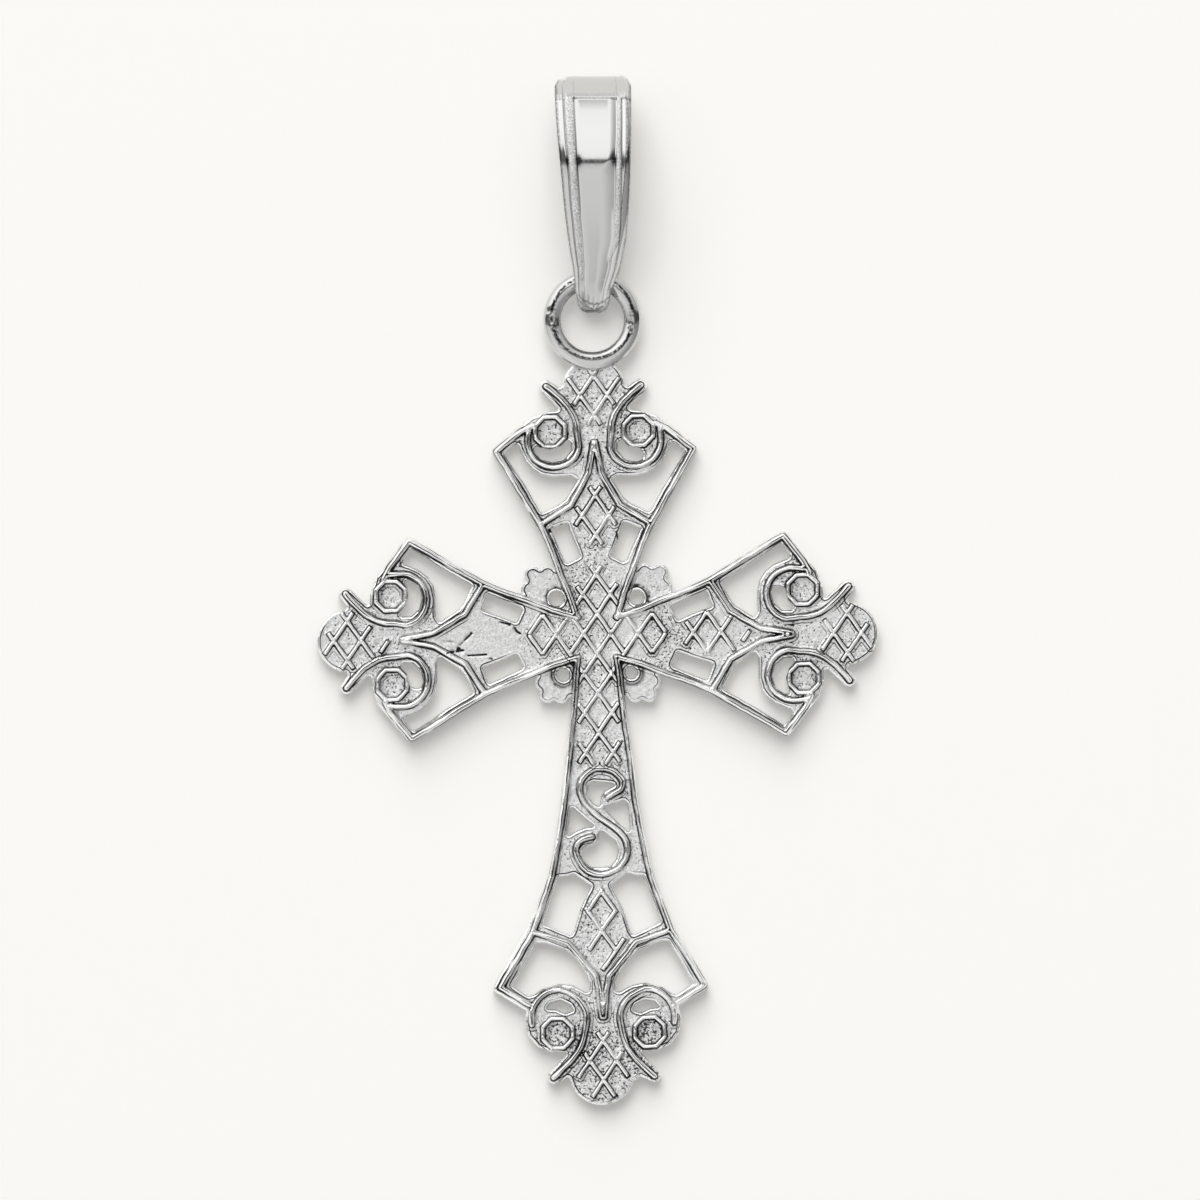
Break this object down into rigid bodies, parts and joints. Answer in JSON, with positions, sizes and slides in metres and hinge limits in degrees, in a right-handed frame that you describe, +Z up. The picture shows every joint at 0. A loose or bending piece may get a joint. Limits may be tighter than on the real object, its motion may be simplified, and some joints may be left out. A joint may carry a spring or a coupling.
{
  "type": "filigree cross charm",
  "caption": "Cast cross charm with pierced filigree arms, trellis relief and lobed ends, a soldered ring and a tapered folded bail for a chain.",
  "frame": {"origin": "where the arms cross, on the flat back of the cross", "axes": "+Z up from the back through the thickness, +Y along the long arm's line towards the bail, +X to the right arm"},
  "size_m": [0.0152, 0.028, 0.0034],
  "materials": {
    "cast_silver": "fine cast grain in the ground, polished on the raised wires and the ring",
    "polished_silver": "polished, with fine handling scratches"
  },
  "bodies": {
    "root": {"cross": "cast_silver", "bail": "polished_silver"}
  },
  "joints": []
}
